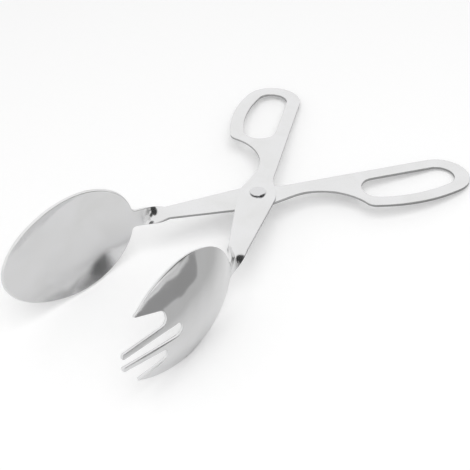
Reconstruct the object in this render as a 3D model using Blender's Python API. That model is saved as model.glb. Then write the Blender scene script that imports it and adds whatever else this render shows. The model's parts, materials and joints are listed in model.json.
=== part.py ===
# Salad servers: a spoon and a fork, each cut and pressed from one steel sheet, crossed like scissors on a rivet.
# Lengths are in metres and +Z is up. The bowls point to -Y and the finger loops to +Y.
# Each arm is drawn along its own line: the pivot at the origin, the handle to +Y, the bowl to -Y,
# its straight spine on the +X side and its finger loop and hollow on the -X side. The spoon's arm is the mirror image.
import math
from collections import namedtuple

import bmesh
import bpy
import numpy as np
from mathutils import Vector

# Sheet
sheet_thickness = 0.0017
running_gap = 0.0003

# How far each arm is swung from the middle line, as the servers lie open
open_half_angle = math.radians(29.9)

# Handle, from the pivot to its end, and across from its straight spine
handle_length = 0.1247
handle_width = 0.0385
spine_offset = 0.0056
loop_end_radius = 0.0175
loop_side_radius = 0.085
loop_heel_radius = 0.0065
finger_rest_radius = 0.031
spine_fillet_radius = 0.020

# Corners of the handle before they are rounded: shares of its width from the spine, and of its length
spine_corner_share = (0.0, 0.121)
loop_end_corner_share = (0.81, 1.0)
loop_side_corner_share = (1.088, 0.691)
loop_heel_corner_share = (0.886, 0.461)
finger_rest_corner_share = (0.106, 0.371)

# Opening of the finger loop. Its foot lies a little past the heel's corner.
spine_wall = 0.0084
outer_wall = 0.0083
end_wall = 0.0088
foot_rise = 0.0013
opening_end_radius = 0.0092
opening_side_radius = 0.080
opening_foot_radius = 0.0100

# Boss round the rivet, and the shank that tapers from it to the neck
boss_half_width = 0.0112
boss_side_radius = 0.030
neck_half_width = 0.0049
neck_start = 0.0553

# Neck: the sheet is twisted a quarter turn and drifts a little to the hollow side.
# The spoon's outer edge turns up and the fork's turns down, so that the hollows face each other.
neck_length = 0.0170
neck_set_in = 0.0006
root_fillet_radius = 0.0030

# Bowls, along and across their rims. The depth is that of the middle of the sheet.
bowl_root_length = 0.0381
bowl_half_width = 0.0311
bowl_depth = 0.0078
bowl_depth_power = 2.2
spoon_bowl_length = 0.0836
spoon_tip_power = 1.9
fork_bowl_length = 0.0858
fork_tip_power = 1.8

# Fork: three slots leave four tines, which are flatter than the rest of its bowl
tine_drop = 0.0024
middle_slot_root = 0.0477
middle_slot_half_width = 0.0041
middle_slot_tip_half_width = 0.0024
side_slot_root = 0.0571
side_slot_offset = 0.0112
side_slot_half_width = 0.0037
side_slot_tip_inner = 0.0052
side_slot_tip_outer = 0.0221
cut_overrun = 0.004

# Rivet
rivet_shank_radius = 0.0026
rivet_head_radius = 0.0044
rivet_head_rim = 0.0004
rivet_head_height = 0.0013
rivet_tail_radius = 0.0040
rivet_tail_height = 0.0010

# Fineness of the faceted solids
arc_turn = math.radians(8)
facet_length = 0.0055
across_count = 12
twist_rows = 9
bowl_rows = 26
round_count = 32
dome_rings = 4
weld_distance = 0.000003
crease_angle = math.radians(40)
tilt_halvings = 50


# Outlines with rounded corners

def wanted_reach(before, corner, after, radius):
    """How far from its corner a rounding of this radius begins, along both sides."""
    return radius / math.tan((before - corner).angle(after - corner) / 2)


def arc_points(before, corner, after, reach):
    """The points of the arc that rounds a corner, from its reach along both sides."""
    back = (before - corner).normalized()
    ahead = (after - corner).normalized()
    half_angle = back.angle(ahead) / 2
    radius = reach * math.tan(half_angle)
    centre = corner + (back + ahead).normalized() * radius / math.sin(half_angle)
    start = corner + back * reach - centre
    end = corner + ahead * reach - centre
    turn = start.angle_signed(end)
    steps = max(2, math.ceil(abs(turn) / arc_turn), math.ceil(abs(turn) * radius / facet_length))
    first = math.atan2(start.y, start.x)
    points = []
    for step in range(steps + 1):
        angle = first - turn * step / steps
        points.append(centre + Vector((math.cos(angle), math.sin(angle))) * radius)
    return points


def rounded_outline(corners):
    """A ring of corners, each (point, radius), rounded. Two roundings that would overlap are both drawn in."""
    count = len(corners)
    sides = []
    for index in range(count):
        before, corner, after = (corners[(index + step) % count][0] for step in (-1, 0, 1))
        sides.append((before, corner, after, wanted_reach(before, corner, after, corners[index][1])))
    fits = []
    for index, (_, corner, after, reach) in enumerate(sides):
        both = reach + sides[(index + 1) % count][3]
        fits.append(min(1, (after - corner).length / both) if both else 1)
    points = []
    for index, (before, corner, after, reach) in enumerate(sides):
        if reach:
            points += arc_points(before, corner, after, reach * min(fits[index - 1], fits[index]))
        else:
            points.append(corner)
    return [point for index, point in enumerate(points) if (point - points[index - 1]).length > weld_distance]


def handle_point(shares):
    """A corner of the handle from its shares of the width and the length."""
    return Vector((spine_offset - handle_width * shares[0], handle_length * shares[1]))


def crossing(first, second):
    """Where two lines meet, each given as (point, direction)."""
    (a, along), (b, across) = first, second
    return a + along * ((b - a).cross(across) / along.cross(across))


def set_in(start, end, wall):
    """The line from start to end, moved to its left by a wall."""
    along = (end - start).normalized()
    return start + Vector((-along.y, along.x)) * wall, along


def arm_outline():
    """The flat part of an arm, from the spine side of the neck round the loop to the hollow side of the neck."""
    return rounded_outline([
        (Vector((neck_half_width, -neck_start)), 0),
        (Vector((boss_half_width, 0)), boss_side_radius),
        (handle_point(spine_corner_share), spine_fillet_radius),
        (handle_point((0, 1)), loop_end_radius),
        (handle_point(loop_end_corner_share), loop_end_radius),
        (handle_point(loop_side_corner_share), loop_side_radius),
        (handle_point(loop_heel_corner_share), loop_heel_radius),
        (handle_point(finger_rest_corner_share), finger_rest_radius),
        (Vector((-boss_half_width, 0)), boss_side_radius),
        (Vector((-neck_half_width, -neck_start)), 0),
    ])


def loop_opening():
    """The finger loop's opening, whose walls follow the outline of the handle."""
    end_corner = handle_point(loop_end_corner_share)
    side_corner = handle_point(loop_side_corner_share)
    heel_corner = handle_point(loop_heel_corner_share)
    spine = (Vector((spine_offset - spine_wall, 0)), Vector((0, 1)))
    end = (Vector((0, handle_length - end_wall)), Vector((1, 0)))
    upper_side = set_in(end_corner, side_corner, outer_wall)
    lower_side = set_in(side_corner, heel_corner, outer_wall)
    foot = (Vector((0, heel_corner.y + foot_rise)), Vector((1, 0)))
    return rounded_outline([
        (crossing(spine, end), opening_end_radius),
        (crossing(end, upper_side), opening_end_radius),
        (crossing(upper_side, lower_side), opening_side_radius),
        (crossing(lower_side, foot), opening_foot_radius),
        (crossing(foot, spine), opening_foot_radius),
    ])


def circle(radius, count):
    return [Vector((radius * math.cos(2 * math.pi * i / count), radius * math.sin(2 * math.pi * i / count)))
            for i in range(count)]


# Bowls: u runs along the rim from its root, v across it, and the hollow faces along the rim's normal.
# The hand is which way the neck turns the sheet.

Bowl = namedtuple("Bowl", "length tip_power tine_drop hand")
spoon_bowl = Bowl(spoon_bowl_length, spoon_tip_power, 0, 1)
fork_bowl = Bowl(fork_bowl_length, fork_tip_power, tine_drop, -1)

bowl_turn = math.atan(bowl_depth * bowl_depth_power / bowl_root_length)
neck_end = Vector((-neck_set_in, -(neck_start + neck_length), 0))
bowl_along = Vector((-math.sin(bowl_turn), -math.cos(bowl_turn), 0))
bowl_up = Vector((0, 0, 1))
bowl_normal = Vector((-math.cos(bowl_turn), math.sin(bowl_turn), 0))


def rim_share(bowl, u, v):
    """How far out a point is between the bowl's deepest place, 0, and its rim, 1."""
    from_widest = u - bowl_root_length
    if from_widest < 0:
        return math.hypot(from_widest / bowl_root_length, v / bowl_half_width)
    along = (from_widest / (bowl.length - bowl_root_length)) ** bowl.tip_power
    across = abs(v / bowl_half_width) ** bowl.tip_power
    return (along + across) ** (1 / bowl.tip_power)


def bowl_point(bowl, u, v):
    height = bowl_depth * (rim_share(bowl, max(u, 0), v) ** bowl_depth_power - 1)
    if u < 0:
        height *= (1 + u / neck_length) ** 2
        return neck_end + Vector((0, -u, 0)) + bowl_up * v + bowl_normal * height
    if u > side_slot_root:
        height -= bowl.tine_drop * ((u - side_slot_root) / (bowl.length - side_slot_root)) ** 2
    return neck_end + bowl_along * u + bowl_up * v + bowl_normal * height


def rim_point(bowl, angle):
    """The rim at an angle from its root, as (u, v)."""
    along = math.cos(angle)
    if along > 0:
        return Vector((bowl_root_length * (1 - along), bowl_half_width * math.sin(angle)))
    power = 2 / bowl.tip_power
    return Vector((bowl_root_length + (bowl.length - bowl_root_length) * abs(along) ** power,
                   bowl_half_width * math.sin(angle) ** power))


def bowl_stations(bowl):
    """The rows across a bowl as (u, half width): the fillet at its root, then the rim to just short of the tip."""
    root_angle = math.asin(neck_half_width / bowl_half_width)
    corner = rim_point(bowl, root_angle)
    before = corner - Vector((neck_length, 0))
    after = rim_point(bowl, root_angle * 2)
    fillet = arc_points(before, corner, after, wanted_reach(before, corner, after, root_fillet_radius))
    start_angle = math.asin(min(fillet[-1].y / bowl_half_width, 1))
    rows = []
    for row in range(1, bowl_rows):
        rows.append(rim_point(bowl, start_angle + (math.pi - start_angle) * row / bowl_rows))
    return fillet + rows


# Arms

def ease(share):
    return share * share * (3 - 2 * share)


def neck_row(share, end_u, level, hand):
    """A row across the twisting neck, from the flat shank at share 0 to the bowl's first row at share 1."""
    turn = hand * ease(share) * math.pi / 2
    across = Vector((math.cos(turn), 0, math.sin(turn)))
    middle = Vector((-neck_set_in * ease(share), -neck_start - (neck_length + end_u) * share, level * (1 - ease(share))))
    return [middle + across * neck_half_width * step for step in across_steps()]


def bowl_row(bowl, u, half_width):
    return [bowl_point(bowl, u, bowl.hand * half_width * step) for step in across_steps()]


def across_steps():
    return [2 * step / across_count - 1 for step in range(across_count + 1)]


def add_ring(bm, points, level):
    verts = [bm.verts.new((p.x, p.y, level)) for p in points]
    return [bm.edges.new((verts[i], verts[(i + 1) % len(verts)])) for i in range(len(verts))]


def sheet_mesh(name, bowl, level, mirrored):
    """The middle surface of one arm: its flat plate, then rows of faces through the neck and the bowl."""
    bm = bmesh.new()
    row = [bm.verts.new((neck_half_width * step, -neck_start, level)) for step in across_steps()]
    outline = [row[-1]] + [bm.verts.new((p.x, p.y, level)) for p in arm_outline()[1:-1]] + [row[0]]
    edges = [bm.edges.new(pair) for pair in zip(outline, outline[1:])]
    edges += [bm.edges.new(pair) for pair in zip(row, row[1:])]
    edges += add_ring(bm, loop_opening(), level)
    edges += add_ring(bm, circle(rivet_shank_radius + running_gap, round_count), level)
    bmesh.ops.triangle_fill(bm, use_beauty=True, edges=edges, normal=(0, 0, 1))

    stations = bowl_stations(bowl)
    rows = [neck_row(step / twist_rows, stations[0].x, level, bowl.hand) for step in range(1, twist_rows)]
    rows += [bowl_row(bowl, station.x, station.y) for station in stations]
    for points in rows:
        following = [bm.verts.new(p) for p in points]
        for i in range(across_count):
            bm.faces.new((row[i], following[i], following[i + 1], row[i + 1]))
        row = following
    tip = bm.verts.new(bowl_point(bowl, bowl.length, 0))
    for i in range(across_count):
        bm.faces.new((row[i], tip, row[i + 1]))

    if mirrored:
        bmesh.ops.scale(bm, vec=(-1, 1, 1), verts=bm.verts)
        bmesh.ops.reverse_faces(bm, faces=bm.faces)
    mesh = bpy.data.meshes.new(name)
    bm.to_mesh(mesh)
    bm.free()
    return mesh


def slot_outline(root, offset, root_half_width, tip_inner, tip_outer):
    """A slot from its round root out past the tip of the bowl, as points (u, v)."""
    past_tip = fork_bowl_length + cut_overrun
    middle = root + root_half_width
    steps = math.ceil(math.pi / arc_turn)
    points = [Vector((past_tip, tip_outer))]
    for step in range(steps + 1):
        angle = math.pi / 2 + math.pi * step / steps
        points.append(Vector((middle + root_half_width * math.cos(angle), offset + root_half_width * math.sin(angle))))
    return points + [Vector((past_tip, tip_inner))]


def slot_cutter(parent):
    """The three slots as one guide body, which runs right through the bowl."""
    outlines = [
        slot_outline(middle_slot_root, 0, middle_slot_half_width, -middle_slot_tip_half_width, middle_slot_tip_half_width),
        slot_outline(side_slot_root, side_slot_offset, side_slot_half_width, side_slot_tip_inner, side_slot_tip_outer),
    ]
    outlines.append([Vector((p.x, -p.y)) for p in reversed(outlines[1])])
    bm = bmesh.new()
    depth = bowl_depth + 2 * cut_overrun
    for outline in outlines:
        verts = []
        for point in outline:
            place = neck_end + bowl_along * point.x + bowl_up * point.y + bowl_normal * cut_overrun
            verts.append(bm.verts.new(place))
        face = bm.faces.new(verts)
        moved = bmesh.ops.extrude_face_region(bm, geom=[face])["geom"]
        bmesh.ops.translate(bm, vec=bowl_normal * -depth, verts=[v for v in moved if isinstance(v, bmesh.types.BMVert)])
    bmesh.ops.recalc_face_normals(bm, faces=bm.faces)
    mesh = bpy.data.meshes.new("fork_slot_guide")
    bm.to_mesh(mesh)
    bm.free()
    guide = add_object("fork_slot_guide", mesh, parent)
    guide.hide_render = True
    guide.display_type = "WIRE"
    return guide


def add_object(name, mesh, parent):
    obj = bpy.data.objects.new(name, mesh)
    bpy.context.scene.collection.objects.link(obj)
    obj.parent = parent
    return obj


def steel(name, color, roughness):
    material = bpy.data.materials.new(name)
    material.use_nodes = True
    shader = material.node_tree.nodes["Principled BSDF"]
    shader.inputs["Base Color"].default_value = (*color, 1)
    shader.inputs["Metallic"].default_value = 1
    shader.inputs["Roughness"].default_value = roughness
    return material


def add_arm(name, bowl, level, swing, stand):
    """One arm, with its origin on the rivet's axis. An arm that is swung to the other side is the mirror image."""
    mesh = sheet_mesh(name, bowl, level, swing < 0)
    mesh.shade_smooth()
    arm = add_object(name, mesh, stand)
    arm.rotation_euler = (0, 0, swing)
    solid = arm.modifiers.new("sheet", "SOLIDIFY")
    solid.thickness = sheet_thickness
    solid.offset = 0
    solid.use_even_offset = True
    return arm


def add_spoon_arm(stand):
    level = -(sheet_thickness + running_gap) / 2
    arm = add_arm("spoon_arm", spoon_bowl, level, -open_half_angle, stand)
    arm.data.materials.append(steel("spoon_steel", (0.78, 0.78, 0.79), 0.16))
    return arm


def add_fork_arm(stand):
    level = (sheet_thickness + running_gap) / 2
    arm = add_arm("fork_arm", fork_bowl, level, open_half_angle, stand)
    arm.data.materials.append(steel("fork_steel", (0.77, 0.77, 0.78), 0.16))
    cut = arm.modifiers.new("slots", "BOOLEAN")
    cut.operation = "DIFFERENCE"
    cut.solver = "MANIFOLD"
    cut.object = slot_cutter(arm)
    return arm


# Rivet

def dome(radius, rim, height, base, way):
    """The profile of a low dome, from its pole out to its rim and back to its base, as (radius, height)."""
    points = []
    for ring in range(dome_rings + 1):
        angle = math.pi / 2 * ring / dome_rings
        points.append((radius * math.sin(angle), base + way * (rim + (height - rim) * math.cos(angle))))
    return points + [(radius, base)]


def add_rivet(stand):
    """Head, shank and the tail that is hammered over under the spoon's arm, in one piece."""
    seat = sheet_thickness + running_gap / 2 + running_gap
    head = dome(rivet_head_radius, rivet_head_rim, rivet_head_height, seat, 1)
    tail = dome(rivet_tail_radius, rivet_head_rim, rivet_tail_height, -seat, -1)
    profile = head + [(rivet_shank_radius, seat), (rivet_shank_radius, -seat)] + tail[::-1]
    bm = bmesh.new()
    verts = [bm.verts.new((radius, 0, height)) for radius, height in profile]
    edges = [bm.edges.new(pair) for pair in zip(verts, verts[1:])]
    bmesh.ops.spin(bm, geom=verts + edges, cent=(0, 0, 0), axis=(0, 0, 1), angle=2 * math.pi,
                   steps=round_count, use_merge=True)
    bmesh.ops.remove_doubles(bm, verts=bm.verts, dist=weld_distance)
    bmesh.ops.recalc_face_normals(bm, faces=bm.faces)
    mesh = bpy.data.meshes.new("pivot_rivet")
    bm.to_mesh(mesh)
    bm.free()
    mesh.shade_smooth()
    mesh.set_sharp_from_angle(angle=crease_angle)
    rivet = add_object("pivot_rivet", mesh, stand)
    rivet.data.materials.append(steel("rivet_steel", (0.80, 0.80, 0.81), 0.12))
    return rivet


# Stand: the servers lie on the lower edges of both bowls and on the end of a handle

def settled_points(objects):
    """All corners of the finished pieces, in the stand's own frame."""
    graph = bpy.context.evaluated_depsgraph_get()
    points = []
    for obj in objects:
        finished = obj.evaluated_get(graph)
        mesh = finished.to_mesh()
        points += [obj.matrix_world @ vertex.co for vertex in mesh.vertices]
        finished.to_mesh_clear()
    return np.array(points)


def resting_tilt(points):
    """The angle at which the bowls and the handles touch a level surface together."""
    bowls = points[points[:, 1] < 0]
    handles = points[points[:, 1] > 0]
    low, high = 0.0, math.pi / 4
    for _ in range(tilt_halvings):
        tilt = (low + high) / 2
        drop = np.array((-math.sin(tilt), math.cos(tilt)))
        if (bowls[:, 1:] @ drop).min() < (handles[:, 1:] @ drop).min():
            low = tilt
        else:
            high = tilt
    return tilt


def lay_down(stand, objects):
    """Tilts the stand onto the level surface and centres the servers over the origin."""
    bpy.context.view_layer.update()
    stand.rotation_euler.x = -resting_tilt(settled_points(objects))
    bpy.context.view_layer.update()
    points = settled_points(objects)
    low, high = points.min(axis=0), points.max(axis=0)
    stand.location = (-(low[0] + high[0]) / 2, -(low[1] + high[1]) / 2, -low[2])
    bpy.context.view_layer.update()


def main():
    for obj in list(bpy.data.objects):
        bpy.data.objects.remove(obj)
    stand = add_object("servers_stand", None, None)
    arms = [add_spoon_arm(stand), add_fork_arm(stand), add_rivet(stand)]
    lay_down(stand, arms)


main()
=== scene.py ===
import json
import math

import bmesh
import bpy
from mathutils import Matrix, Vector


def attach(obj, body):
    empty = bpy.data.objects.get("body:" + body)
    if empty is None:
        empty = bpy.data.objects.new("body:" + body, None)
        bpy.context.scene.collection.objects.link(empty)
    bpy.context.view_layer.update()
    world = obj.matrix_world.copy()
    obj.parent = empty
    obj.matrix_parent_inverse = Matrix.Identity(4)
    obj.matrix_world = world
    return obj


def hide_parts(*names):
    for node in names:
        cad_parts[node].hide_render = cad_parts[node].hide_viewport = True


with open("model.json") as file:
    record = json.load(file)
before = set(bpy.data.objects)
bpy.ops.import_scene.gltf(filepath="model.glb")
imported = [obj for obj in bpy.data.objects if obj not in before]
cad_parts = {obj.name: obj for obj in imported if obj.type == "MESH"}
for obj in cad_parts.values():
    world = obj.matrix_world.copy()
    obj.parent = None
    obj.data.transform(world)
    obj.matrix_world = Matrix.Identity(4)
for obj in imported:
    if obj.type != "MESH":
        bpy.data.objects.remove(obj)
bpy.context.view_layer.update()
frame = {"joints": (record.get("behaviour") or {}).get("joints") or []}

hinge = frame["joints"][0]
pivot = Vector(hinge["pos_m"])
lie = -math.atan2(hinge["axis"][1], hinge["axis"][2])  # the tilt at which the servers lie on the table
nearly = 0.00001  # metres; what lies this close to a line lies on it
print("frame loaded, the servers lie tilted by", round(math.degrees(lie), 2), "degrees")


# drawing and placing by hand

def deselectAll():
    if bpy.context.object and bpy.context.object.mode == "EDIT":
        bpy.ops.object.mode_set(mode="OBJECT")
    bpy.ops.object.select_all(action="DESELECT")


def makeActive(piece):
    deselectAll()
    bpy.context.view_layer.objects.active = piece
    piece.select_set(True)


def newPiece(name):
    # an empty mesh, left in edit mode
    deselectAll()
    bpy.ops.mesh.primitive_plane_add(size=0.001)
    piece = bpy.context.object
    piece.name = piece.data.name = name
    bpy.ops.object.mode_set(mode="EDIT")
    bpy.ops.mesh.select_mode(type="VERT")
    bpy.ops.mesh.select_all(action="SELECT")
    bpy.ops.mesh.delete(type="VERT")
    return piece


def pickVerts(piece, wanted):
    # selects in edit mode the vertices that pass the test, and gives back their numbers from left to right
    bpy.ops.mesh.select_mode(type="VERT")
    bpy.ops.mesh.select_all(action="DESELECT")
    mesh = bmesh.from_edit_mesh(piece.data)
    picked = sorted((vert for vert in mesh.verts if wanted(vert)), key=lambda vert: vert.co.x)
    for vert in picked:
        vert.select = True
    mesh.select_flush_mode()
    bmesh.update_edit_mesh(piece.data)
    return [vert.index for vert in picked]


def drawLine(points):
    # one point, extruded from place to place
    bpy.ops.mesh.select_all(action="DESELECT")
    bpy.ops.mesh.primitive_plane_add(size=0.001, location=points[0])
    bpy.ops.mesh.merge(type="CENTER")
    for here, there in zip(points, points[1:]):
        bpy.ops.mesh.extrude_vertices_move(TRANSFORM_OT_translate={"value": there - here})


def drawRing(piece, points):
    # a line whose two ends are joined by an edge
    before = len(bmesh.from_edit_mesh(piece.data).verts)
    drawLine(points)
    ends = (before, before + len(points) - 1)
    pickVerts(piece, lambda vert: vert.index in ends)
    bpy.ops.mesh.edge_face_add()


def roundCorners(corners, stepTurn=math.radians(4), stepLength=0.0018):
    # corners are (x, y, radius); where two roundings would overlap, both are made smaller
    count = len(corners)
    spots = [Vector(corner[:2]) for corner in corners]
    sides, reaches = [], []
    for index in range(count):
        back = spots[index - 1] - spots[index]
        ahead = spots[(index + 1) % count] - spots[index]
        half = back.angle(ahead) / 2
        sides.append((back.normalized(), ahead.normalized(), half, ahead.length))
        reaches.append(corners[index][2] / math.tan(half))
    fits = []
    for index in range(count):
        both = reaches[index] + reaches[(index + 1) % count]
        fits.append(min(1, sides[index][3] / both) if both else 1)
    points = []
    for index in range(count):
        back, ahead, half, _ = sides[index]
        reach = reaches[index] * min(fits[index - 1], fits[index])
        if not reach:
            points.append(spots[index])
            continue
        radius = reach * math.tan(half)
        centre = spots[index] + (back + ahead).normalized() * radius / math.sin(half)
        start = spots[index] + back * reach - centre
        turn = start.angle_signed(spots[index] + ahead * reach - centre)
        steps = max(2, math.ceil(abs(turn) / stepTurn), math.ceil(abs(turn) * radius / stepLength))
        for step in range(steps + 1):
            points.append(centre + start @ Matrix.Rotation(turn * step / steps, 2))
    tooClose = 0.00002
    kept = [spot for index, spot in enumerate(points) if (spot - points[index - 1]).length > tooClose]
    return [Vector((spot.x, spot.y, 0)) for spot in kept]


def applyModifier(piece, kind, **settings):
    makeActive(piece)
    modifier = piece.modifiers.new(kind.lower(), kind)
    for name, value in settings.items():
        setattr(modifier, name, value)
    bpy.ops.object.modifier_apply(modifier=modifier.name)


def placePiece(piece, swing, mirrored=False):
    # from its own drawing to where it lies, with the place in its mesh
    makeActive(piece)
    if mirrored:
        bpy.ops.object.mode_set(mode="EDIT")
        bpy.ops.mesh.select_all(action="SELECT")
        bpy.ops.transform.mirror(constraint_axis=(True, False, False), center_override=(0, 0, 0))
        bpy.ops.mesh.flip_normals()
        bpy.ops.object.mode_set(mode="OBJECT")
    tilt = Matrix.Rotation(lie, 4, "X") @ Matrix.Rotation(swing, 4, "Z")
    piece.matrix_world = Matrix.Translation(pivot) @ tilt
    bpy.ops.object.transform_apply(location=True, rotation=True, scale=True)


def finishPiece(piece, body, node, slot, *materials):
    makeActive(piece)
    bpy.ops.object.shade_smooth_by_angle(angle=math.radians(50))
    # the arms have their two material slots already, and the rivet gets its one here
    for index, material in enumerate(materials):
        if index == len(piece.data.materials):
            piece.data.materials.append(material)
        piece.data.materials[index] = material
    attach(piece, body)
    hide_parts(node)
    print(piece.name, "done,", len(piece.data.polygons), "faces")


# the arms: one drawing for both, pivot at the origin, handle to +Y, straight spine on +X

armForm = {
    "sheet": 0.0017,          # thickness of the steel
    "level": 0.0010,          # the middle of each sheet above or below the face between the two
    "swing": math.radians(29.9),  # each arm's turn away from the middle line
    "edgeRound": 0.00028,     # how far the edges are tumbled round
    "border": 0.00045,        # ring of faces inside each edge that takes the rounding
    "across": 28,             # faces across the neck and the bowl
    # corners of the handle and shank, as x, y and rounding
    "outline": [
        (0.0054, -0.0525, 0), (0.0112, 0, 0.030), (0.0056, 0.0151, 0.020), (0.0056, 0.1247, 0.0175),
        (-0.0256, 0.1247, 0.0175), (-0.0363, 0.0862, 0.085), (-0.0285, 0.0575, 0.0065),
        (0.0015, 0.0463, 0.031), (-0.0112, 0, 0.030), (-0.0054, -0.0525, 0),
    ],
    "opening": [
        (-0.0028, 0.1159, 0.0092), (-0.0194, 0.1159, 0.0092), (-0.0277, 0.0861, 0.080),
        (-0.0203, 0.0588, 0.010), (-0.0028, 0.0588, 0.010),
    ],
    "rivetHole": 0.0029,
    "weld": 0.00002,          # the plate, neck and bowl are welded where they are this close
}
neckForm = {
    "halfWidth": 0.0052, "start": -0.0525, "length": 0.0198, "rows": 40,
    "setIn": 0.0006,          # how far the bowl's root lies beside the middle of the shank
    "fillet": 0.0030,         # rounding between the neck and the bowl's rim
    "flare": 0.0002,          # wider by this where it leaves the shank
    "waist": 0.0004,          # narrower by this halfway
    "turnPower": 0.82,        # below 1 the turn comes early, nearer the shank
}
bowlForm = {
    "rootLength": 0.0381, "halfWidth": 0.0311, "depth": 0.0078, "depthPower": 2.2,
    "rimSteps": 76,           # points along each half of the rim
    "grid": 0.0010,           # faces of the blank before it is pressed
    "sliver": 0.00010,        # faces narrower than this are closed
}
# hand is the way the neck turns; from tineStart on the tines bend back, by tineDrop at the tip
spoonForm = {
    "length": 0.0836, "tipPower": 1.9, "tineDrop": 0, "tineStart": 0.0571, "hand": 1,
    "slots": None,
}
forkForm = {
    "length": 0.0858, "tipPower": 1.8, "tineDrop": 0.0024, "tineStart": 0.0571, "hand": -1,
    # slots as root along the bowl, middle, half width there, and their edges where they leave the rim
    "slots": {
        "middle": (0.0477, 0, 0.0041, -0.0024, 0.0024),
        "side": (0.0571, 0.0112, 0.0037, 0.0052, 0.0221),
    },
    "tineRound": 0.0008, "pointRound": 0.0005, "pointReach": 0.0011,
}

bowlTurn = math.atan(bowlForm["depth"] * bowlForm["depthPower"] / bowlForm["rootLength"])
neckEnd = Vector((-neckForm["setIn"], neckForm["start"] - neckForm["length"], 0))
alongBowl = Vector((-math.sin(bowlTurn), -math.cos(bowlTurn), 0))
outOfBowl = Vector((-math.cos(bowlTurn), math.sin(bowlTurn), 0))
upright = Vector((0, 0, 1))


def rimShare(form, u, v):
    # 0 in the middle of the bowl where it is widest, 1 on its rim
    fromWidest = u - bowlForm["rootLength"]
    if fromWidest < 0:
        return math.hypot(fromWidest / bowlForm["rootLength"], v / bowlForm["halfWidth"])
    power = form["tipPower"]
    lengthwise = (fromWidest / (form["length"] - bowlForm["rootLength"])) ** power
    return (lengthwise + abs(v / bowlForm["halfWidth"]) ** power) ** (1 / power)


def bowlPoint(form, u, v):
    # u runs from the bowl's root to its tip, v up across it; the dish is pressed away from its rim
    height = bowlForm["depth"] * (rimShare(form, max(u, 0), v) ** bowlForm["depthPower"] - 1)
    if u < 0:
        height *= (1 + u / neckForm["length"]) ** 2
        return neckEnd + Vector((0, -u, 0)) + upright * v + outOfBowl * height
    if u > form["tineStart"]:
        height -= form["tineDrop"] * ((u - form["tineStart"]) / (form["length"] - form["tineStart"])) ** 2
    return neckEnd + alongBowl * u + upright * v + outOfBowl * height


def rimPoint(form, angle):
    # the rim at an angle from its root, as u and v
    lengthwise = math.cos(angle)
    if lengthwise > 0:
        return Vector((bowlForm["rootLength"] * (1 - lengthwise), bowlForm["halfWidth"] * math.sin(angle)))
    power = 2 / form["tipPower"]
    tipLength = form["length"] - bowlForm["rootLength"]
    return Vector((bowlForm["rootLength"] + tipLength * abs(lengthwise) ** power,
                   bowlForm["halfWidth"] * max(math.sin(angle), 0) ** power))


def rootFillet():
    # from the neck's side into the rim, as u and half width, and the rim's angle where it ends
    rootAngle = math.asin(neckForm["halfWidth"] / bowlForm["halfWidth"])
    corner = rimPoint(spoonForm, rootAngle)
    before = corner - Vector((neckForm["length"], 0))
    after = rimPoint(spoonForm, rootAngle * 2)
    corners = [(before.x, before.y, 0), (corner.x, corner.y, neckForm["fillet"]), (after.x, after.y, 0)]
    fillet = [Vector(point[:2]) for point in roundCorners(corners, stepTurn=math.radians(8))][1:-1]
    return fillet, math.asin(fillet[-1].y / bowlForm["halfWidth"])


def edgeAcross(slot, tip, side, u):
    # where a slot's straight edge lies across the bowl at u
    root, middle, half = slot[:3]
    start = middle + side * half
    return start + (tip - start) * (u - root) / (forkForm["length"] - root)


def meetRim(form, slot, tip, side):
    # the point where a slot's edge leaves the rim, closed in on by halves
    low, high = slot[0] + slot[2], form["length"]
    for _ in range(40):
        u = (low + high) / 2
        if rimShare(form, u, edgeAcross(slot, tip, side, u)) < 1:
            low = u
        else:
            high = u
    return u, edgeAcross(slot, tip, side, u)


def halfOutline(form):
    # one half of the blank from the neck to the middle of the tip, as u, v and rounding
    fillet, startAngle = rootFillet()
    corners = [(point.x, point.y, 0) for point in fillet]
    steps = bowlForm["rimSteps"]
    left = math.pi - startAngle
    rim = [rimPoint(form, startAngle + left * step / steps) for step in range(1, steps + 1)]
    if not form["slots"]:
        return corners + [(point.x, point.y, 0) for point in rim[:-1]] + [(form["length"], 0, 0)]
    middle, side = form["slots"]["middle"], form["slots"]["side"]
    root, across, half, innerEdge, outerEdge = side
    pointEnd = meetRim(form, side, outerEdge, 1)[0] + form["pointReach"]
    clear = form["pointReach"] * 3
    corners += [(point.x, point.y, 0) for point in rim if point.x < pointEnd - clear]
    corners += [
        (pointEnd, edgeAcross(side, outerEdge, 1, pointEnd), form["pointRound"]),
        (root, across + half, half), (root, across - half, half),
        (*meetRim(form, side, innerEdge, -1), form["tineRound"]),
        (*meetRim(form, middle, middle[4], 1), form["tineRound"]), (middle[0], middle[2], middle[2]),
    ]
    return corners


def ease(share):
    return share * share * (3 - 2 * share)


def neckPoint(form, share, endU, level, step):
    # share runs from 0 to 1 along the neck, step from -1 to 1 across it
    turn = form["hand"] * ease(share ** neckForm["turnPower"]) * math.pi / 2
    middle = Vector((
        -neckForm["setIn"] * ease(share),
        neckForm["start"] - (neckForm["length"] + endU) * share,
        level * (1 - ease(share)),
    ))
    halfWidth = neckForm["halfWidth"] + neckForm["flare"] * (1 - share) ** 4
    halfWidth -= neckForm["waist"] * math.sin(math.pi * share) ** 2
    return middle + Vector((math.cos(turn), 0, math.sin(turn))) * halfWidth * step


def addRow(piece, row, places):
    # the last row is extruded, and each new point goes to its place
    pickVerts(piece, lambda vert: vert.index in row)
    bpy.ops.mesh.extrude_edges_move()
    mesh = bmesh.from_edit_mesh(piece.data)
    mesh.verts.ensure_lookup_table()
    fresh = []
    for index in row:
        links = [edge.other_vert(mesh.verts[index]) for edge in mesh.verts[index].link_edges]
        fresh.append(next(vert for vert in links if vert.select).index)
    for index, place in zip(fresh, places):
        mesh.verts[index].co = place
    bmesh.update_edit_mesh(piece.data)
    return fresh


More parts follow.
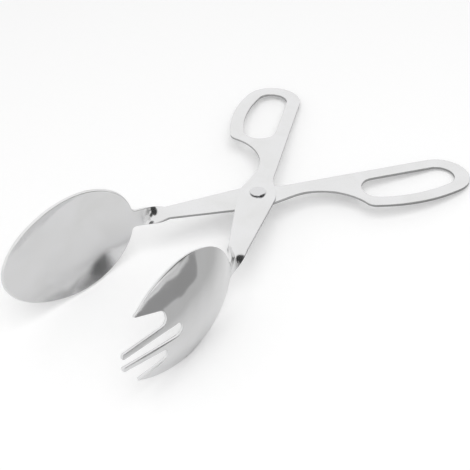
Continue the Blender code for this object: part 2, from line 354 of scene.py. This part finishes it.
def makeBowl(name, form):
    # a flat blank cut to the outline, laid out in small squares, then pressed
    piece = newPiece(name)
    half = halfOutline(form)
    start = half[0]
    other = [(u, -v, radius) for u, v, radius in reversed(half) if v]
    rounded = roundCorners([(v, -u, radius) for u, v, radius in half + other], stepTurn=math.radians(15),
                           stepLength=bowlForm["grid"])
    drawRing(piece, rounded)
    rootLine = -start[0] - nearly
    pickVerts(piece, lambda vert: vert.co.y > rootLine)
    bpy.ops.mesh.subdivide(number_cuts=armForm["across"] - 1)
    bpy.ops.mesh.select_all(action="SELECT")
    bpy.ops.mesh.edge_face_add()
    bpy.ops.mesh.inset(thickness=armForm["border"], depth=0)
    bpy.ops.mesh.select_mode(type="FACE")
    bpy.ops.mesh.select_all(action="INVERT")
    bpy.ops.mesh.hide()
    for axis, reach in ((0, bowlForm["halfWidth"]), (1, form["length"])):
        normal = Vector((1 - axis, axis, 0))
        cuts = math.floor(reach / bowlForm["grid"])
        for step in range(-cuts, cuts + 1):
            bpy.ops.mesh.select_all(action="SELECT")
            bpy.ops.mesh.bisect(plane_co=normal * (step + 0.5) * bowlForm["grid"], plane_no=normal)
    bpy.ops.mesh.select_all(action="SELECT")
    bpy.ops.mesh.remove_doubles(threshold=bowlForm["sliver"])
    bpy.ops.mesh.reveal()
    bpy.ops.mesh.select_mode(type="VERT")
    mesh = bmesh.from_edit_mesh(piece.data)
    for vert in mesh.verts:
        vert.co = bowlPoint(form, -vert.co.y, form["hand"] * vert.co.x)
    bmesh.update_edit_mesh(piece.data)
    bpy.ops.object.mode_set(mode="OBJECT")
    return piece, start[0]


def makeArm(name, form, level):
    bowl, endU = makeBowl(name + "Bowl", form)
    piece = newPiece(name)
    # flat plate: outline, finger loop and rivet hole, filled
    drawRing(piece, roundCorners(armForm["outline"]))
    neckLine = neckForm["start"] + nearly
    pickVerts(piece, lambda vert: vert.co.y < neckLine)
    bpy.ops.mesh.subdivide(number_cuts=armForm["across"] - 1)
    drawRing(piece, roundCorners(armForm["opening"]))
    bpy.ops.mesh.select_all(action="DESELECT")
    bpy.ops.mesh.primitive_circle_add(vertices=64, radius=armForm["rivetHole"])
    bpy.ops.mesh.select_all(action="SELECT")
    bpy.ops.mesh.fill(use_beauty=True)
    bpy.ops.mesh.select_all(action="SELECT")
    bpy.ops.mesh.inset(thickness=armForm["border"], depth=0)
    bpy.ops.mesh.select_all(action="SELECT")
    bpy.ops.transform.translate(value=(0, 0, level))
    # neck, row by row from the plate's end to the bowl's root
    row = pickVerts(piece, lambda vert: vert.co.y < neckLine)
    steps = [2 * index / armForm["across"] - 1 for index in range(armForm["across"] + 1)]
    for count in range(1, neckForm["rows"]):
        share = count / neckForm["rows"]
        row = addRow(piece, row, [neckPoint(form, share, endU, level, step) for step in steps])
    halfWidth = form["hand"] * neckForm["halfWidth"]
    addRow(piece, row, [bowlPoint(form, endU, halfWidth * step) for step in steps])
    makeActive(piece)
    bowl.select_set(True)
    bpy.ops.object.join()
    bpy.ops.object.mode_set(mode="EDIT")
    bpy.ops.mesh.select_all(action="SELECT")
    bpy.ops.mesh.remove_doubles(threshold=armForm["weld"])
    bpy.ops.mesh.normals_make_consistent(inside=False)
    bpy.ops.object.mode_set(mode="OBJECT")
    piece.data.materials.append(None)  # for the sheet's two faces
    piece.data.materials.append(None)  # for its cut edge
    applyModifier(piece, "SOLIDIFY", thickness=armForm["sheet"], offset=0, use_even_offset=True,
                  material_offset_rim=1)
    return piece


def roundEdges(piece):
    applyModifier(piece, "BEVEL", width=armForm["edgeRound"], segments=3, limit_method="ANGLE",
                  angle_limit=math.radians(55), use_clamp_overlap=False, loop_slide=False, material=0)


spoonArm = makeArm("spoonArm", spoonForm, -armForm["level"])
roundEdges(spoonArm)
placePiece(spoonArm, -armForm["swing"], mirrored=True)
print("spoon arm modelled")

forkArm = makeArm("forkArm", forkForm, armForm["level"])
roundEdges(forkArm)
placePiece(forkArm, armForm["swing"])
print("fork arm modelled")


# the rivet: low domed head above, smaller tail below

rivetForm = {
    "shank": 0.0026, "seat": 0.00215, "head": 0.0044, "headRim": 0.0005, "headHeight": 0.0013,
    "tail": 0.0040, "tailRim": 0.0004, "tailHeight": 0.0010, "steps": 12, "edgeRound": 0.00018,
}


def domeProfile(radius, rim, height, base, way):
    # from the top of the dome to its rim and down to its base, on the upper side or, with way -1, the lower
    spots = []
    for step in range(rivetForm["steps"] + 1):
        angle = math.pi / 2 * step / rivetForm["steps"]
        rise = rim + (height - rim) * math.cos(angle)
        spots.append(Vector((radius * math.sin(angle), 0, base + way * rise)))
    return spots + [Vector((radius, 0, base))]


def makeRivet():
    # half its outline, turned round the axis
    piece = newPiece("pivotRivet")
    seat = rivetForm["seat"]
    head = domeProfile(rivetForm["head"], rivetForm["headRim"], rivetForm["headHeight"], seat, 1)
    tail = domeProfile(rivetForm["tail"], rivetForm["tailRim"], rivetForm["tailHeight"], -seat, -1)
    shank = [Vector((rivetForm["shank"], 0, seat)), Vector((rivetForm["shank"], 0, -seat))]
    drawLine(head + shank + tail[::-1])
    bpy.ops.mesh.select_all(action="SELECT")
    bpy.ops.mesh.spin(steps=96, angle=2 * math.pi, center=(0, 0, 0), axis=(0, 0, 1))
    bpy.ops.mesh.select_all(action="SELECT")
    bpy.ops.mesh.remove_doubles(threshold=nearly)
    bpy.ops.mesh.normals_make_consistent(inside=False)
    bpy.ops.object.mode_set(mode="OBJECT")
    applyModifier(piece, "BEVEL", width=rivetForm["edgeRound"], segments=3, limit_method="ANGLE",
                  angle_limit=math.radians(40), use_clamp_overlap=False)
    return piece


pivotRivet = makeRivet()
placePiece(pivotRivet, 0)
print("rivet modelled")


# steel

steelForm = {
    "color": (0.80, 0.80, 0.805),
    "flatRough": 0.16,
    "spoonRough": 0.11,
    "forkRough": 0.06,
    "wave": 0.0011,           # height of the shallow swells left by pressing
    "neckChange": (-0.064, -0.056),  # places along the arm where the polish ends and the satin begins
    # the sheared edge: rougher along the flats, buffed round the bowls; along the flats its colour is
    # darkened too, painted shade for the shadowed table that the edge mirrors
    "edgeFlatRough": 0.36, "edgeBowlRough": 0.26, "edgePaintedShade": 0.52,
    # painted shade in a thin darker ring on the arms round the rivet's head, where the head meets the arm:
    # its shade and width
    "rivetRingPaintedShade": 0.85, "paintedRingWidth": 0.0010,
    # the rivet keeps the uneven face that the setting hammer leaves; its colour, darker than the arms'
    # steel, is a painted reflection of the greyer surroundings its dome mirrors
    "rivetColor": (0.73, 0.73, 0.74), "rivetRough": 0.07, "rivetDents": 0.00005,
}
wearForm = {
    # polishing marks: their scale, how much longer than wide they are, and what they add to the roughness
    "grainScale": 900.0, "grainStretch": 14.0, "grainRough": 0.05, "grainHeight": 0.000002,
    # smudges: scale, the part of the noise that makes them, added roughness and tint
    "smudgeScale": 38.0, "smudgeRange": (0.42, 0.72), "smudgeRough": 0.035,
    "smudgeTint": (0.95, 0.95, 0.94),
    # stray scratches: scale, width, and the scale and reach of their bends
    "scratchScale": 160.0, "scratchWidth": 0.018, "bendScale": 22.0, "bendReach": 0.03,
    "waveScale": 42.0,
    # shares of the marks and the scratches in the fine bump
    "grainShare": 0.6, "scratchShare": -0.4,
}


def newGroup(name, inputs, outputs):
    group = bpy.data.node_groups.new(name, "ShaderNodeTree")
    for label, kind, value in inputs:
        socket = group.interface.new_socket(name=label, in_out="INPUT", socket_type=kind)
        if value is not None:
            socket.default_value = value
    for label, kind in outputs:
        group.interface.new_socket(name=label, in_out="OUTPUT", socket_type=kind)
    return group, group.nodes.new("NodeGroupInput"), group.nodes.new("NodeGroupOutput")


def addNode(tree, kind, values=None, **settings):
    node = tree.nodes.new(kind)
    for name, value in settings.items():
        setattr(node, name, value)
    for name, value in (values or {}).items():
        node.inputs[name].default_value = value
    return node


def addWear(group, place):
    # fine polishing marks along the arm, soft smudges, a few stray scratches and shallow swells,
    # all in the arm's own directions
    links = group.links
    stretched = addNode(group, "ShaderNodeVectorMath", {1: (1, 1 / wearForm["grainStretch"], 1)},
                        operation="MULTIPLY")
    links.new(place, stretched.inputs[0])
    grain = addNode(group, "ShaderNodeTexNoise",
                    {"Scale": wearForm["grainScale"], "Detail": 4.0, "Roughness": 0.6})
    links.new(stretched.outputs[0], grain.inputs["Vector"])
    smudge = addNode(group, "ShaderNodeTexNoise",
                     {"Scale": wearForm["smudgeScale"], "Detail": 3.0, "Distortion": 0.6})
    links.new(place, smudge.inputs["Vector"])
    low, high = wearForm["smudgeRange"]
    smudgeRamp = addNode(group, "ShaderNodeMapRange", {"From Min": low, "From Max": high})
    links.new(smudge.outputs[0], smudgeRamp.inputs[0])
    # scratches are the borders of long cells, bent a little
    warp = addNode(group, "ShaderNodeTexNoise", {"Scale": wearForm["bendScale"], "Detail": 2.0})
    links.new(place, warp.inputs["Vector"])
    shifted = addNode(group, "ShaderNodeVectorMath", {1: [wearForm["bendReach"]] * 3},
                      operation="MULTIPLY_ADD")
    links.new(warp.outputs["Color"], shifted.inputs[0])
    links.new(stretched.outputs[0], shifted.inputs[2])
    cells = addNode(group, "ShaderNodeTexVoronoi", {"Scale": wearForm["scratchScale"]},
                    feature="DISTANCE_TO_EDGE")
    links.new(shifted.outputs[0], cells.inputs["Vector"])
    scratch = addNode(group, "ShaderNodeMapRange",
                      {"From Min": 0.0, "From Max": wearForm["scratchWidth"], "To Min": 1.0, "To Max": 0.0})
    links.new(cells.outputs["Distance"], scratch.inputs[0])
    wave = addNode(group, "ShaderNodeTexNoise",
                   {"Scale": wearForm["waveScale"], "Detail": 1.0, "Roughness": 0.4})
    links.new(place, wave.inputs["Vector"])
    return grain.outputs[0], smudgeRamp.outputs[0], scratch.outputs[0], wave.outputs[0]


def makeFinishGroup():
    # what all the steels share; each material gives it its own values
    group, entry, leave = newGroup("steelFinish", [
        ("Place", "NodeSocketVector", None), ("Turn", "NodeSocketFloat", 0.0),
        ("Color", "NodeSocketColor", (*steelForm["color"], 1)),
        ("Flat Roughness", "NodeSocketFloat", steelForm["flatRough"]),
        ("Bowl Roughness", "NodeSocketFloat", steelForm["forkRough"]),
        ("Flat Painted Shade", "NodeSocketFloat", 1.0), ("Rivet Ring Painted Shade", "NodeSocketFloat", 1.0),
        ("Wave Height", "NodeSocketFloat", 0.0),
        ("Grain Height", "NodeSocketFloat", wearForm["grainHeight"]),
    ], [("Color", "NodeSocketColor"), ("Roughness", "NodeSocketFloat"), ("Normal", "NodeSocketVector")])
    links = group.links
    # into the arm's own directions: from the pivot, laid level, then along the arm
    moved = addNode(group, "ShaderNodeMapping", {"Location": -pivot})
    levelled = addNode(group, "ShaderNodeMapping", {"Rotation": (-lie, 0, 0)})
    swung = addNode(group, "ShaderNodeVectorRotate", rotation_type="Z_AXIS", invert=True)
    links.new(entry.outputs["Place"], moved.inputs["Vector"])
    links.new(moved.outputs[0], levelled.inputs["Vector"])
    links.new(levelled.outputs[0], swung.inputs["Vector"])
    links.new(entry.outputs["Turn"], swung.inputs["Angle"])
    grain, smudge, scratch, wave = addWear(group, swung.outputs[0])
    parts = addNode(group, "ShaderNodeSeparateXYZ")
    links.new(swung.outputs[0], parts.inputs[0])

    # satin on the flats, polished in the bowl, with the change across the neck
    bowlEnd, flatEnd = steelForm["neckChange"]
    satin = addNode(group, "ShaderNodeMapRange", {"From Min": bowlEnd, "From Max": flatEnd},
                    interpolation_type="SMOOTHSTEP")
    links.new(parts.outputs["Y"], satin.inputs["Value"])
    links.new(entry.outputs["Bowl Roughness"], satin.inputs["To Min"])
    links.new(entry.outputs["Flat Roughness"], satin.inputs["To Max"])
    rough = satin.outputs[0]
    for mask, amount in ((grain, wearForm["grainRough"]), (smudge, wearForm["smudgeRough"])):
        added = addNode(group, "ShaderNodeMath", {1: amount}, operation="MULTIPLY_ADD")
        links.new(mask, added.inputs[0])
        links.new(rough, added.inputs[2])
        rough = added.outputs[0]
    links.new(rough, leave.inputs["Roughness"])

    # smudges tint the steel; painted shade darkens the cut edges along the flats, and a thin ring on the
    # arms round the rivet's head where the head meets the arm
    tint = addNode(group, "ShaderNodeMix", {7: (*wearForm["smudgeTint"], 1)}, data_type="RGBA",
                   blend_type="MULTIPLY")
    links.new(smudge, tint.inputs[0])
    links.new(entry.outputs["Color"], tint.inputs[6])
    # painted shade: where a material asks for it, its colour is darkened along the flats
    flatPaintedShade = addNode(group, "ShaderNodeMapRange", {"From Min": bowlEnd, "From Max": flatEnd, "To Min": 1.0})
    links.new(parts.outputs["Y"], flatPaintedShade.inputs["Value"])
    links.new(entry.outputs["Flat Painted Shade"], flatPaintedShade.inputs["To Max"])
    flatPlace = addNode(group, "ShaderNodeVectorMath", {1: (1, 1, 0)}, operation="MULTIPLY")
    links.new(swung.outputs[0], flatPlace.inputs[0])
    fromRivet = addNode(group, "ShaderNodeVectorMath", operation="LENGTH")
    links.new(flatPlace.outputs[0], fromRivet.inputs[0])
    # painted shade: a thin darker ring round the rivet's head
    ring = addNode(group, "ShaderNodeMapRange", {
        "From Min": rivetForm["head"], "From Max": rivetForm["head"] + steelForm["paintedRingWidth"], "To Max": 1.0,
    })
    links.new(fromRivet.outputs["Value"], ring.inputs["Value"])
    links.new(entry.outputs["Rivet Ring Painted Shade"], ring.inputs["To Min"])
    shade = addNode(group, "ShaderNodeMath", operation="MULTIPLY")
    links.new(flatPaintedShade.outputs[0], shade.inputs[0])
    links.new(ring.outputs[0], shade.inputs[1])
    shaded = addNode(group, "ShaderNodeVectorMath", operation="SCALE")
    links.new(tint.outputs[2], shaded.inputs[0])
    links.new(shade.outputs[0], shaded.inputs["Scale"])
    links.new(shaded.outputs[0], leave.inputs["Color"])

    # fine marks and scratches on top of the shallow swells
    dent = addNode(group, "ShaderNodeMath", {1: wearForm["scratchShare"]}, operation="MULTIPLY")
    links.new(scratch, dent.inputs[0])
    height = addNode(group, "ShaderNodeMath", {1: wearForm["grainShare"]}, operation="MULTIPLY_ADD")
    links.new(grain, height.inputs[0])
    links.new(dent.outputs[0], height.inputs[2])
    swell = addNode(group, "ShaderNodeBump", {"Strength": 1.0})
    links.new(wave, swell.inputs["Height"])
    links.new(entry.outputs["Wave Height"], swell.inputs["Distance"])
    bump = addNode(group, "ShaderNodeBump", {"Strength": 1.0})
    links.new(height.outputs[0], bump.inputs["Height"])
    links.new(entry.outputs["Grain Height"], bump.inputs["Distance"])
    links.new(swell.outputs[0], bump.inputs["Normal"])
    links.new(bump.outputs[0], leave.inputs["Normal"])
    return group


finishGroup = makeFinishGroup()


def makeSteel(name, values):
    # the shared finish with the values of one material
    material = bpy.data.materials.new(name)
    material.use_nodes = True
    tree = material.node_tree
    shader = tree.nodes["Principled BSDF"]
    shader.inputs["Metallic"].default_value = 1.0
    place = addNode(tree, "ShaderNodeTexCoord")
    finish = addNode(tree, "ShaderNodeGroup", values, node_tree=finishGroup)
    tree.links.new(place.outputs["Object"], finish.inputs["Place"])
    for output, socket in (("Color", "Base Color"), ("Roughness", "Roughness"), ("Normal", "Normal")):
        tree.links.new(finish.outputs[output], shader.inputs[socket])
    return material


spoonSteel = makeSteel("spoonSteel", {
    "Turn": -armForm["swing"], "Flat Roughness": steelForm["flatRough"],
    "Bowl Roughness": steelForm["spoonRough"], "Rivet Ring Painted Shade": steelForm["rivetRingPaintedShade"],
    "Wave Height": steelForm["wave"],
})
forkSteel = makeSteel("forkSteel", {
    "Turn": armForm["swing"], "Flat Roughness": steelForm["flatRough"],
    "Bowl Roughness": steelForm["forkRough"], "Rivet Ring Painted Shade": steelForm["rivetRingPaintedShade"],
    "Wave Height": steelForm["wave"],
})
spoonEdge, forkEdge = [
    makeSteel(name, {
        "Turn": swing, "Flat Roughness": steelForm["edgeFlatRough"],
        "Bowl Roughness": steelForm["edgeBowlRough"], "Flat Painted Shade": steelForm["edgePaintedShade"],
    })
    for name, swing in (("spoonEdge", -armForm["swing"]), ("forkEdge", armForm["swing"]))
]
rivetSteel = makeSteel("rivetSteel", {
    "Color": (*steelForm["rivetColor"], 1), "Flat Roughness": steelForm["rivetRough"],
    "Bowl Roughness": steelForm["rivetRough"], "Grain Height": steelForm["rivetDents"],
})
print("steel made")

finishPiece(spoonArm, "spoon_side", "spoon_arm", "spoon_steel", spoonSteel, spoonEdge)
finishPiece(forkArm, "fork_side", "fork_arm", "fork_steel", forkSteel, forkEdge)
finishPiece(pivotRivet, "spoon_side", "pivot_rivet", "rivet_steel", rivetSteel)


# table, studio and camera

studioForm = {
    "floorRadius": 4.0,
    "floorColor": 0.93,
    "floorRough": 0.7,
    "floorSheen": 0.1,
    "floorLift": 0.14,        # so that the lit table is white to the camera
    "world": 0.6,
    "topLight": {"place": (0.40, -0.30, 1.2), "size": 1.1, "power": 7.6},
    # painted reflections: glowing cards that only the steel sees, dark shapes for it to mirror: azimuth from
    # +Y towards +X, elevation, distance, width, height, lean, shade and softness
    "cards": {
        "darkWall": (52, 30, 1.5, 1.36, 2.5, 35, 0.045, 0.16),
        "lowStrip": (92, 25, 1.45, 1.3, 0.70, 6, 0.07, 0.3),
        "backCard": (152, 27, 1.4, 0.70, 0.95, 0, 0.12, 0.3),
        "sideCard": (-122.5, 41.5, 1.2, 0.41, 0.27, 0, 0.05, 0.35),
    },
    # painted reflection of a darker table behind the servers: a grey sheet lying there that only the steel
    # sees: middle, size, turn, softness of its sides and shade
    "greySheet": {
        "middle": (0.222, 0.953, 0.0008), "width": 0.7, "height": 2.2, "turn": 10, "soft": (0.17, 0.08),
        "shade": 0.54,
    },
    # a painted reflection: a low dark bar that only the steel sees, standing in front of it: the feet and
    # tops of its two ends
    "lowBar": {
        "feet": ((0.130, 0.029, 0), (0.1815, -0.126, 0)),
        "tops": ((0.113, 0.072, 0.053), (0.1815, -0.126, 0.045)),
        "soft": (0.08, 0.12), "shade": 0.32, "uneven": 0.25,
    },
}


def makeFloor():
    deselectAll()
    bpy.ops.mesh.primitive_circle_add(vertices=64, radius=studioForm["floorRadius"], fill_type="NGON")
    floor = bpy.context.object
    floor.name = "tableTop"
    material = bpy.data.materials.new("tableWhite")
    material.use_nodes = True
    tree = material.node_tree
    shader = tree.nodes["Principled BSDF"]
    shade = studioForm["floorColor"]
    shader.inputs["Base Color"].default_value = (shade, shade, shade, 1)
    shader.inputs["Roughness"].default_value = studioForm["floorRough"]
    shader.inputs["Specular IOR Level"].default_value = studioForm["floorSheen"]
    shader.inputs["Emission Color"].default_value = (1, 1, 1, 1)
    path = addNode(tree, "ShaderNodeLightPath")
    lift = addNode(tree, "ShaderNodeMath", {1: studioForm["floorLift"]}, operation="MULTIPLY")
    tree.links.new(path.outputs["Is Camera Ray"], lift.inputs[0])
    tree.links.new(lift.outputs[0], shader.inputs["Emission Strength"])
    floor.data.materials.append(material)


def makeWorld():
    world = bpy.data.worlds.new("studio")
    bpy.context.scene.world = world
    world.use_nodes = True
    tree = world.node_tree
    background = tree.nodes["Background"]
    path = addNode(tree, "ShaderNodeLightPath")
    seen = addNode(tree, "ShaderNodeMath", operation="MAXIMUM")
    tree.links.new(path.outputs["Is Camera Ray"], seen.inputs[0])
    tree.links.new(path.outputs["Is Glossy Ray"], seen.inputs[1])
    strength = addNode(tree, "ShaderNodeMapRange", {"To Min": studioForm["world"], "To Max": 1.0})
    tree.links.new(seen.outputs[0], strength.inputs[0])
    tree.links.new(strength.outputs[0], background.inputs["Strength"])
    background.inputs["Color"].default_value = (1, 1, 1, 1)


def addSoftbox(name, place, size, power, target=(0, 0, 0.02)):
    # a square lamp that neither the camera nor the steel sees
    deselectAll()
    bpy.ops.object.light_add(type="AREA", location=place)
    lamp = bpy.context.object
    lamp.name = name
    lamp.data.shape = "SQUARE"
    lamp.data.size = size
    lamp.data.energy = power
    lamp.rotation_euler = (Vector(target) - Vector(place)).to_track_quat("-Z", "Y").to_euler()
    lamp.visible_camera = False
    lamp.visible_glossy = False


def cardMaterial(name, shade, soft, uneven, oval):
    # a glow of its own shade in the middle and clear at the edges, square or oval; uneven makes the edges
    # wander
    material = bpy.data.materials.new(name)
    material.use_nodes = True
    tree = material.node_tree
    links = tree.links
    tree.nodes.remove(tree.nodes["Principled BSDF"])
    square = addNode(tree, "ShaderNodeTexCoord")
    place = addNode(tree, "ShaderNodeVectorMath", {1: (0.5, 0.5, 0)}, operation="SUBTRACT")
    links.new(square.outputs["UV"], place.inputs[0])
    lumps = addNode(tree, "ShaderNodeTexNoise", {"Scale": 5.0, "Detail": 1.0})
    links.new(place.outputs[0], lumps.inputs["Vector"])
    push = addNode(tree, "ShaderNodeCombineXYZ")
    amount = addNode(tree, "ShaderNodeMapRange",
                     {"From Min": 0.3, "From Max": 0.7, "To Min": -uneven, "To Max": uneven})
    links.new(lumps.outputs[0], amount.inputs[0])
    links.new(amount.outputs[0], push.inputs["Y"])
    shifted = addNode(tree, "ShaderNodeVectorMath", operation="ADD")
    links.new(place.outputs[0], shifted.inputs[0])
    links.new(push.outputs[0], shifted.inputs[1])
    fromMiddle = addNode(tree, "ShaderNodeVectorMath", operation="LENGTH" if oval else "ABSOLUTE")
    links.new(shifted.outputs[0], fromMiddle.inputs[0])
    parts = addNode(tree, "ShaderNodeSeparateXYZ")
    links.new(fromMiddle.outputs["Value" if oval else "Vector"], parts.inputs[0])
    masks = []
    for axis, fade in zip("XY", soft):
        mask = addNode(tree, "ShaderNodeMapRange", {
            "From Min": 0.5 * (1 - fade), "From Max": 0.5, "To Min": 1.0, "To Max": 0.0,
        })
        links.new(parts.outputs[axis], mask.inputs[0])
        masks.append(mask)
    both = addNode(tree, "ShaderNodeMath", operation="MULTIPLY")
    links.new(masks[0].outputs[0], both.inputs[0])
    links.new(masks[1].outputs[0], both.inputs[1])
    glow = addNode(tree, "ShaderNodeEmission", {"Color": (shade, shade, shade, 1), "Strength": 1.0})
    clear = addNode(tree, "ShaderNodeBsdfTransparent")
    mix = addNode(tree, "ShaderNodeMixShader")
    links.new(both.outputs[0], mix.inputs[0])
    links.new(clear.outputs[0], mix.inputs[1])
    links.new(glow.outputs[0], mix.inputs[2])
    links.new(mix.outputs[0], tree.nodes["Material Output"].inputs["Surface"])
    return material


def hangCard(name, corners, shade, soft, uneven=0.0, oval=False):
    # corners: lower left, lower right, upper left and upper right, as the plane's own four;
    # only the steel sees the card, as a painted reflection, and it casts no shadow
    deselectAll()
    bpy.ops.mesh.primitive_plane_add(size=1)
    card = bpy.context.object
    card.name = name
    for vert, corner in zip(card.data.vertices, corners):
        vert.co = corner
    card.data.materials.append(cardMaterial(name, shade, soft, uneven, oval))
    card.visible_camera = False
    card.visible_diffuse = False
    card.visible_shadow = False


def cardCorners(facing, width, height):
    # in the order that hangCard takes them
    return [facing @ Vector((x * width / 2, y * height / 2, 0)) for y in (-1, 1) for x in (-1, 1)]


makeFloor()
makeWorld()
addSoftbox("topLight", **studioForm["topLight"])
for name, (azimuth, elevation, distance, width, height, lean, shade, soft) in studioForm["cards"].items():
    azimuth, elevation = math.radians(azimuth), math.radians(elevation)
    level = math.cos(elevation)
    away = Vector((math.sin(azimuth) * level, math.cos(azimuth) * level, math.sin(elevation)))
    facing = Matrix.Translation(away * distance) @ away.to_track_quat("Z", "Y").to_matrix().to_4x4()
    facing = facing @ Matrix.Rotation(math.radians(lean), 4, "Z")
    hangCard(name, cardCorners(facing, width, height), shade, (soft, soft), oval=True)
sheet = studioForm["greySheet"]
lying = Matrix.Translation(sheet["middle"]) @ Matrix.Rotation(math.radians(sheet["turn"]), 4, "Z")
hangCard("greySheet", cardCorners(lying, sheet["width"], sheet["height"]), sheet["shade"], sheet["soft"])
bar = studioForm["lowBar"]
hangCard("lowBar", (*bar["feet"], *bar["tops"]), bar["shade"], bar["soft"], bar["uneven"])

cameraForm = {
    "place": (0.335019, -0.312547, 0.409660),
    "right": (0.739776, 0.665741, -0.097570),
    "up": (-0.392462, 0.544722, 0.741115),
    "back": (0.546539, -0.509967, 0.664251),
    "sensor": 36,
    "lens": 83.28,
}
bpy.ops.object.camera_add(location=cameraForm["place"])
camera = bpy.context.object
camera.data.sensor_width = cameraForm["sensor"]
camera.data.lens = cameraForm["lens"]
camera.data.clip_start = 0.01
turn = Matrix((cameraForm["right"], cameraForm["up"], cameraForm["back"])).transposed()
camera.rotation_euler = turn.to_euler()
bpy.context.scene.camera = camera
bpy.context.scene.view_settings.view_transform = "Standard"
print("studio set")
